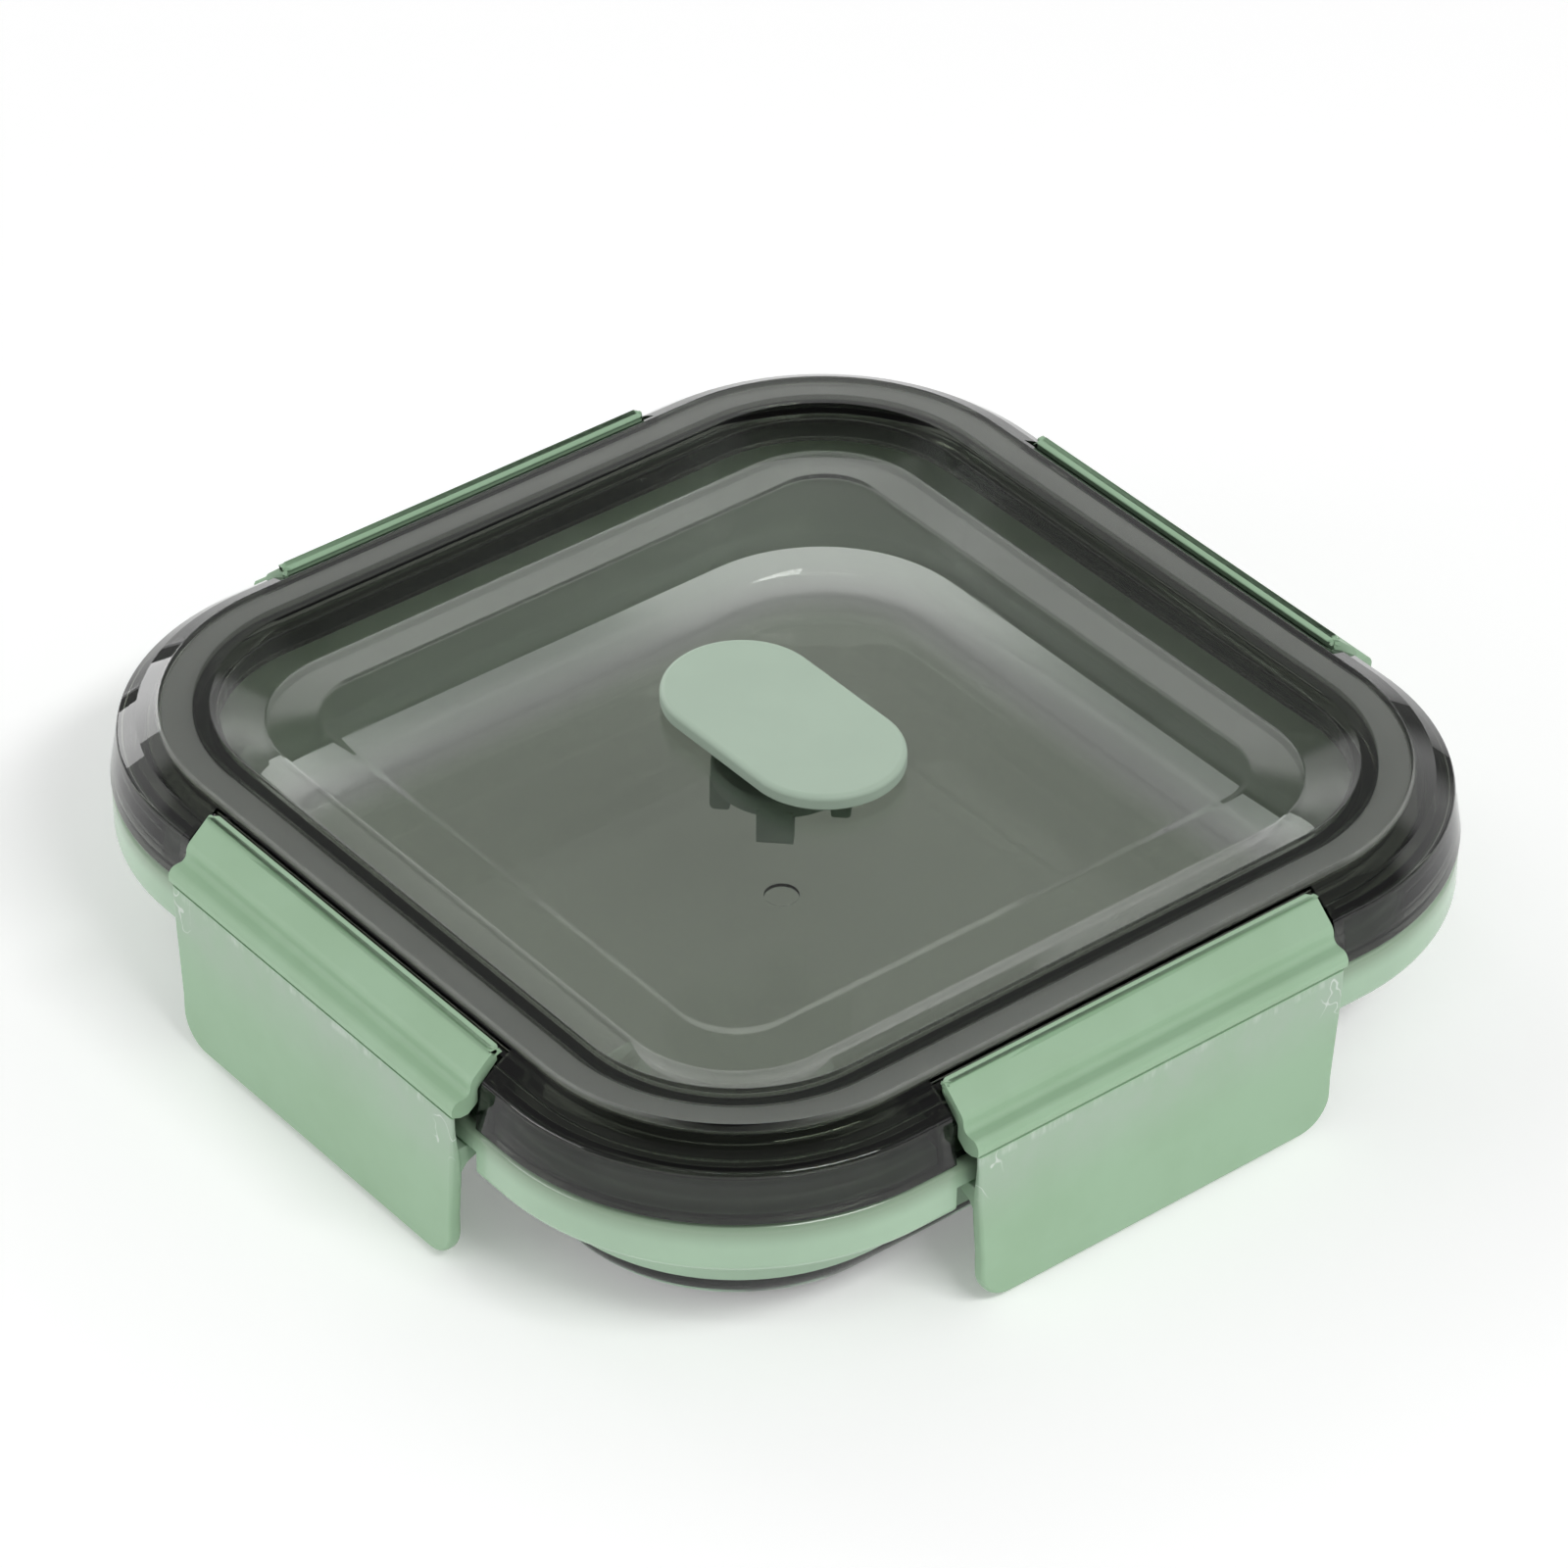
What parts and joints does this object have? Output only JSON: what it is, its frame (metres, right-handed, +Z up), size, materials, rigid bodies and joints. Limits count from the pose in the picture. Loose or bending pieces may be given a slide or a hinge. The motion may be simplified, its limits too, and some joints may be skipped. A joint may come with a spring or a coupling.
{
  "type": "snap lid food container",
  "caption": "Square glass food container with a moulded sleeve, a smoky lid with hinged side latches and a lifting vent plug.",
  "frame": {"origin": "centre of the base, where the glass foot ring stands", "axes": "+Z up towards the lid; the four latches face +X (right), +Y (back), -X (left) and -Y (front); the vent plug's long side lies along X"},
  "size_m": [0.1656, 0.1656, 0.0377],
  "materials": {
    "clear_glass": "clear",
    "sage_plastic": "gloss",
    "smoke_plastic": "clear",
    "pale_silicone": "matte",
    "sage_silicone": "matte",
    "matte_sage": "satin"
  },
  "bodies": {
    "container": {"glass_tray": "clear_glass", "sleeve": "sage_plastic"},
    "lid": {"lid_shell": "smoke_plastic", "seal_ring": "pale_silicone", "right_latch_clip": "matte_sage", "back_latch_clip": "matte_sage", "left_latch_clip": "matte_sage", "front_latch_clip": "matte_sage"},
    "right_flap": {"right_latch_flap": "matte_sage"},
    "back_flap": {"back_latch_flap": "matte_sage"},
    "left_flap": {"left_latch_flap": "matte_sage"},
    "front_flap": {"front_latch_flap": "matte_sage"},
    "vent": {"vent_plug": "sage_silicone"}
  },
  "joints": [
    {"name": "lid_lift", "type": "slide", "parent": "container", "child": "lid", "axis": [0, 0, 1], "range_m": [0, 0.06]},
    {"name": "vent_lift", "type": "slide", "parent": "lid", "child": "vent", "axis": [0, 0, 1], "range_m": [0, 0.0025]},
    {"name": "right_latch_turn", "type": "hinge", "parent": "lid", "child": "right_flap", "pos_m": [0.082, 0, 0.02685], "axis": [0, -1, 0], "range_deg": [0, 110]},
    {"name": "back_latch_turn", "type": "hinge", "parent": "lid", "child": "back_flap", "pos_m": [0, 0.082, 0.02685], "axis": [1, 0, 0], "range_deg": [0, 110]},
    {"name": "left_latch_turn", "type": "hinge", "parent": "lid", "child": "left_flap", "pos_m": [-0.082, 0, 0.02685], "axis": [0, 1, 0], "range_deg": [0, 110]},
    {"name": "front_latch_turn", "type": "hinge", "parent": "lid", "child": "front_flap", "pos_m": [0, -0.082, 0.02685], "axis": [-1, 0, 0], "range_deg": [0, 110]}
  ]
}
